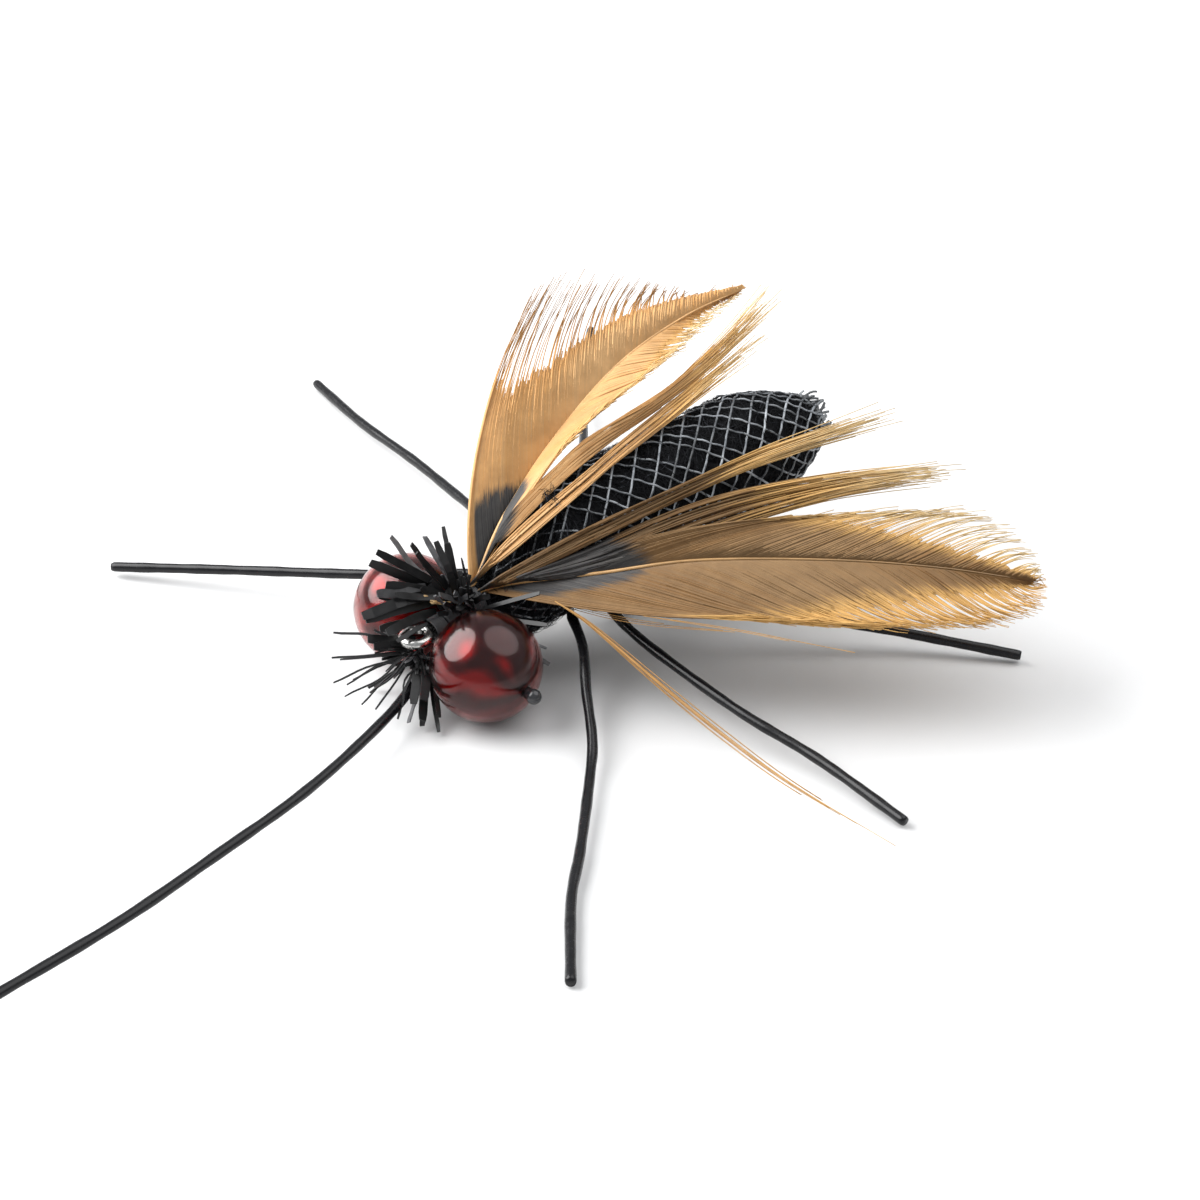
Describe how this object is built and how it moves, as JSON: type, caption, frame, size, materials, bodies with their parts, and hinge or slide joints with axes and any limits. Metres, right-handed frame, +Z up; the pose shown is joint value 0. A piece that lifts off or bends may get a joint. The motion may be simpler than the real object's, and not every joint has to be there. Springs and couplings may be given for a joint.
{
  "type": "dry fly",
  "caption": "Cicada dry fly: bead-eyed head, braided body over foam, feather wings and rubber legs, tied on a ringed hook.",
  "frame": {"origin": "centre of the hook-eye hole", "axes": "+X back towards the tail, +Y the fly's right side, +Z up with the fly standing on its eyes and hook bend"},
  "size_m": [0.0632, 0.056, 0.0137],
  "materials": {
    "hook_wire": "bright",
    "black_thread": "waxed",
    "clear_mono": "smooth",
    "bead_core": "pearl",
    "bead_lacquer": "polished",
    "black_foam": "closed cell",
    "black_dubbing": "fuzzy",
    "braided_mesh": "satin",
    "mesh_seal": "satin",
    "chenille_core": "twisted",
    "chenille_fibre": "satin",
    "black_rubber": "semi-gloss",
    "feather_quill": "satin",
    "feather_web": "barbed"
  },
  "bodies": {
    "fly": {"hook": "hook_wire", "thread_base": "black_thread", "whip_finish": "black_thread", "eye_lashing": "black_thread", "wing_tie": "black_thread", "front_leg_tie": "black_thread", "middle_leg_tie": "black_thread", "rear_leg_tie": "black_thread", "front_foam_tie": "black_thread", "rear_foam_tie": "black_thread", "eye_stem": "clear_mono", "left_eye_core": "bead_core", "right_eye_core": "bead_core", "left_eye_lacquer": "bead_lacquer", "right_eye_lacquer": "bead_lacquer", "foam_underbody": "black_foam", "dubbing_coat": "black_dubbing", "thorax_dubbing": "black_dubbing", "mesh_sleeve": "braided_mesh", "tail_seal": "mesh_seal", "chenille_core": "chenille_core", "chenille_fibres": "chenille_fibre", "left_wing_butt": "feather_quill", "right_wing_butt": "feather_quill", "head_leg_strand": "black_rubber", "front_leg_strand": "black_rubber", "middle_leg_strand": "black_rubber", "rear_leg_strand": "black_rubber"},
    "head_leg": {"head_leg": "black_rubber"},
    "left_front_leg": {"left_front_leg": "black_rubber"},
    "right_front_leg": {"right_front_leg": "black_rubber"},
    "left_middle_leg": {"left_middle_leg": "black_rubber"},
    "right_middle_leg": {"right_middle_leg": "black_rubber"},
    "left_rear_leg": {"left_rear_leg": "black_rubber"},
    "right_rear_leg": {"right_rear_leg": "black_rubber"},
    "left_wing": {"left_wing_quill": "feather_quill", "left_wing_web": "feather_web", "left_wing_split_web": "feather_web"},
    "right_wing": {"right_wing_quill": "feather_quill", "right_wing_web": "feather_web", "right_wing_split_web": "feather_web"}
  },
  "joints": [
    {"name": "head_leg_sweep", "type": "hinge", "parent": "fly", "child": "head_leg", "pos_m": [-0.0001, -0.0003, -0.0019], "axis": [0, 0, 1], "range_deg": [-10, 10], "stiffness_Nm_per_rad": 0.00005},
    {"name": "left_front_leg_sweep", "type": "hinge", "parent": "fly", "child": "left_front_leg", "pos_m": [0.0082, -0.0027, -0.0005], "axis": [0, 0, 1], "range_deg": [-15, 15], "stiffness_Nm_per_rad": 0.00005},
    {"name": "right_front_leg_sweep", "type": "hinge", "parent": "fly", "child": "right_front_leg", "pos_m": [0.0074, 0.0027, -0.0004], "axis": [0, 0, 1], "range_deg": [-15, 4], "stiffness_Nm_per_rad": 0.00005},
    {"name": "left_middle_leg_sweep", "type": "hinge", "parent": "fly", "child": "left_middle_leg", "pos_m": [0.0103, -0.0027, -0.0003], "axis": [0, 0, 1], "range_deg": [-15, 15], "stiffness_Nm_per_rad": 0.00005},
    {"name": "right_middle_leg_sweep", "type": "hinge", "parent": "fly", "child": "right_middle_leg", "pos_m": [0.0106, 0.0027, -0.0001], "axis": [0, 0, 1], "range_deg": [-15, 15], "stiffness_Nm_per_rad": 0.00005},
    {"name": "left_rear_leg_sweep", "type": "hinge", "parent": "fly", "child": "left_rear_leg", "pos_m": [0.0134, -0.0029, 0.0001], "axis": [0, 0, 1], "range_deg": [-15, 15], "stiffness_Nm_per_rad": 0.00005},
    {"name": "right_rear_leg_sweep", "type": "hinge", "parent": "fly", "child": "right_rear_leg", "pos_m": [0.0132, 0.0029, 0.0001], "axis": [0, 0, 1], "range_deg": [-15, 15], "stiffness_Nm_per_rad": 0.00005},
    {"name": "left_wing_lift", "type": "hinge", "parent": "fly", "child": "left_wing", "pos_m": [0.00435, -0.00045, 0.00145], "axis": [-0.67, -0.7424, 0], "range_deg": [0, 25], "stiffness_Nm_per_rad": 0.0003},
    {"name": "right_wing_lift", "type": "hinge", "parent": "fly", "child": "right_wing", "pos_m": [0.00435, 0.00045, 0.0017], "axis": [0.3405, -0.9402, 0], "range_deg": [0, 25], "stiffness_Nm_per_rad": 0.0003}
  ]
}
